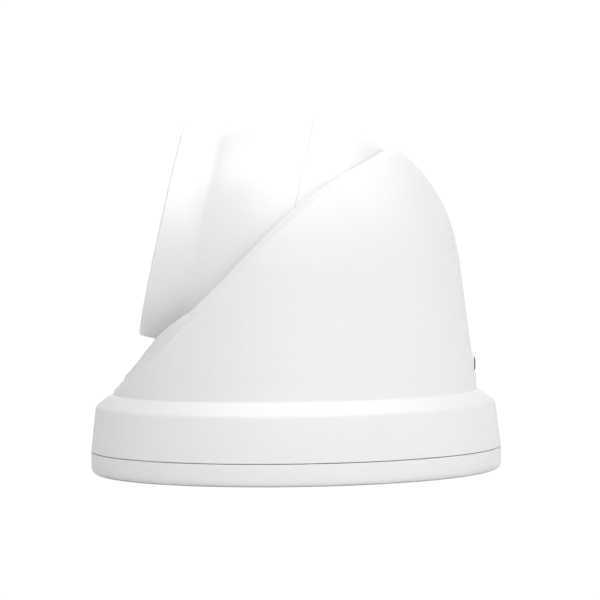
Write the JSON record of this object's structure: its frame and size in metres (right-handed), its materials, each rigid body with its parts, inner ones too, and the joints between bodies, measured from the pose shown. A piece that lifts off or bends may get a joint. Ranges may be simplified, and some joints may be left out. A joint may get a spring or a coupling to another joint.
{
  "type": "security camera",
  "caption": "Fixed turret security camera: a round base, a sloped hood that pans on it, and a ball with a flat glass face that tilts and turns.",
  "frame": {"origin": "centre of the base's bottom face, on the surface that the camera stands on or hangs from", "axes": "+Z away from the mounting surface and along the pan axis, -Y the way the lens looks, +X completes a right-handed frame"},
  "size_m": [0.1384, 0.1384, 0.1213],
  "materials": {
    "white_grain": "fine spark-eroded grain, matte white",
    "white_satin": "smooth satin white",
    "black_plastic": "matte black",
    "rubber": "matte black",
    "nylon": "natural nylon, satin",
    "steel": "zinc plated, satin",
    "brass": "turned",
    "aluminium": "cast and blasted",
    "circuit_board": "green solder mask",
    "lens_glass": "polished, coated",
    "foam": "closed-cell foam",
    "led_epoxy": "clear moulded epoxy"
  },
  "bodies": {
    "base": {"mounting_base": "white_grain", "base_seal": "foam", "cable_grommet": "rubber", "pan_friction_washer": "nylon", "pan_retainer": "steel", "retainer_screw_1": "steel", "retainer_screw_2": "steel", "retainer_screw_3": "steel"},
    "hood": {"hood_shell": "white_grain", "rim_collar": "white_grain", "chassis_plate": "nylon", "chassis_screw_1": "steel", "chassis_screw_2": "steel", "chassis_screw_3": "steel", "pivot_screw_left": "steel", "pivot_screw_right": "steel", "pivot_washer_left": "nylon", "pivot_washer_right": "nylon", "speaker_gasket": "foam", "speaker_frame": "steel", "speaker_cone": "black_plastic", "speaker_magnet": "steel", "lock_screw": "black_plastic", "lock_insert": "brass", "lock_lever": "nylon"},
    "yoke": {"tilt_yoke": "aluminium", "swivel_washer": "nylon"},
    "ball": {"ball_front_shell": "white_satin", "ball_rear_shell": "white_satin", "board_carrier": "aluminium", "board_standoff_1": "brass", "board_standoff_2": "brass", "board_standoff_3": "brass", "cable_gland": "rubber", "filter_frame": "black_plastic", "front_lens": "lens_glass", "front_plate": "black_plastic", "front_window": "lens_glass", "heat_sink": "aluminium", "image_sensor": "black_plastic", "infrared_led_1": "led_epoxy", "infrared_led_2": "led_epoxy", "inner_frame": "nylon", "led_board": "circuit_board", "lens_barrel": "black_plastic", "lens_holder": "black_plastic", "light_baffle": "foam", "main_board": "circuit_board", "microphone": "aluminium", "processor": "black_plastic", "rear_lens": "lens_glass", "reset_switch": "black_plastic", "seam_o_ring": "rubber", "sensor_board": "circuit_board", "service_plug": "rubber", "spot_led_1": "led_epoxy", "spot_led_2": "led_epoxy", "swivel_nut": "steel"},
    "ir_filter": {"ir_cut_filter": "lens_glass"},
    "reset_button": {"reset_button": "nylon"}
  },
  "joints": [
    {"name": "pan", "type": "hinge", "parent": "base", "child": "hood", "pos_m": [0, 0, 0], "axis": [0, 0, 1], "range_deg": [-177.5, 177.5]},
    {"name": "tilt", "type": "hinge", "parent": "hood", "child": "yoke", "pos_m": [0, -0.00283, 0.07382], "axis": [-1, 0, 0], "range_deg": [0, 65]},
    {"name": "rotate", "type": "hinge", "parent": "yoke", "child": "ball", "pos_m": [0, -0.00283, 0.07382], "axis": [0, -0.9736, 0.2284], "range_deg": [-177.5, 177.5]},
    {"name": "ir_filter_slide", "type": "slide", "parent": "ball", "child": "ir_filter", "axis": [1, 0, 0], "range_m": [0, 0.006]},
    {"name": "reset_press", "type": "slide", "parent": "ball", "child": "reset_button", "axis": [0, -0.9736, 0.2284], "range_m": [0, 0.0004], "stiffness_N_per_m": 800}
  ]
}
